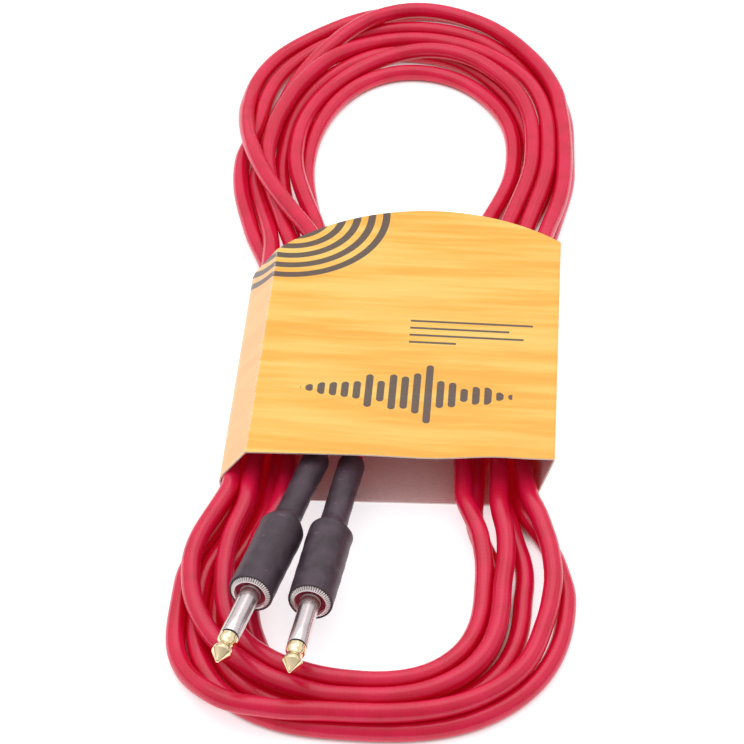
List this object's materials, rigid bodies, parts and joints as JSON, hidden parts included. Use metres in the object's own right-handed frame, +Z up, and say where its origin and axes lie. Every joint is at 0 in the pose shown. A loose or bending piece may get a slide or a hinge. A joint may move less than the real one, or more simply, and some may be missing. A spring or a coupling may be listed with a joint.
{
  "type": "instrument cable",
  "caption": "Red round instrument cable wound into a long flat hank in a folded card sleeve, with a straight mono phone plug in a soft black boot on each end.",
  "frame": {"origin": "on the surface that the hank rests on, under the middle of the hank's bounding box", "axes": "+Z up, +Y along the hank away from the plugs, so both plugs point towards -Y; +X to the right seen from the plugs"},
  "size_m": [0.1341, 0.3824, 0.029],
  "materials": {
    "jacket": "glossy, slightly translucent red soft PVC",
    "card": "printed yellow card with a light cut edge",
    "gold": "pale gold plate",
    "black_plastic": "satin black",
    "nickel": "bright nickel plate",
    "bright_ring": "bright, straight knurled rim",
    "red_washer": "satin dark red",
    "lug_brass": "tinned brass",
    "brown_board": "phenolic board",
    "pale_plastic": "milky polyethylene",
    "boot": "semi-matte charcoal soft sleeve",
    "copper": "bare copper strands",
    "solder": "dull tin solder"
  },
  "bodies": {
    "cable": {"cable_hank": "jacket", "cable_lead_a": "jacket", "cable_lead_b": "jacket", "plug_a_tip": "gold", "plug_a_tip_insulator": "black_plastic", "plug_a_sleeve_contact": "nickel", "plug_a_body": "nickel", "plug_a_knurled_ring": "bright_ring", "plug_a_red_washer": "red_washer", "plug_a_ground_lug": "lug_brass", "plug_a_lug_spacer": "brown_board", "plug_a_tip_lug": "lug_brass", "plug_a_handle_shell": "nickel", "plug_a_liner": "pale_plastic", "plug_a_boot": "boot", "plug_a_core_insulation": "pale_plastic", "plug_a_core_wire": "copper", "plug_a_shield_tail": "copper", "plug_a_solder": "solder", "plug_b_tip": "gold", "plug_b_tip_insulator": "black_plastic", "plug_b_sleeve_contact": "nickel", "plug_b_body": "nickel", "plug_b_knurled_ring": "bright_ring", "plug_b_red_washer": "red_washer", "plug_b_ground_lug": "lug_brass", "plug_b_lug_spacer": "brown_board", "plug_b_tip_lug": "lug_brass", "plug_b_handle_shell": "nickel", "plug_b_liner": "pale_plastic", "plug_b_boot": "boot", "plug_b_core_insulation": "pale_plastic", "plug_b_core_wire": "copper", "plug_b_shield_tail": "copper", "plug_b_solder": "solder"},
    "sleeve": {"card_sleeve": "card"}
  },
  "joints": [
    {"name": "sleeve_slip", "type": "slide", "parent": "cable", "child": "sleeve", "axis": [0, 1, 0], "range_m": [-0.0015, 0.0015]}
  ]
}
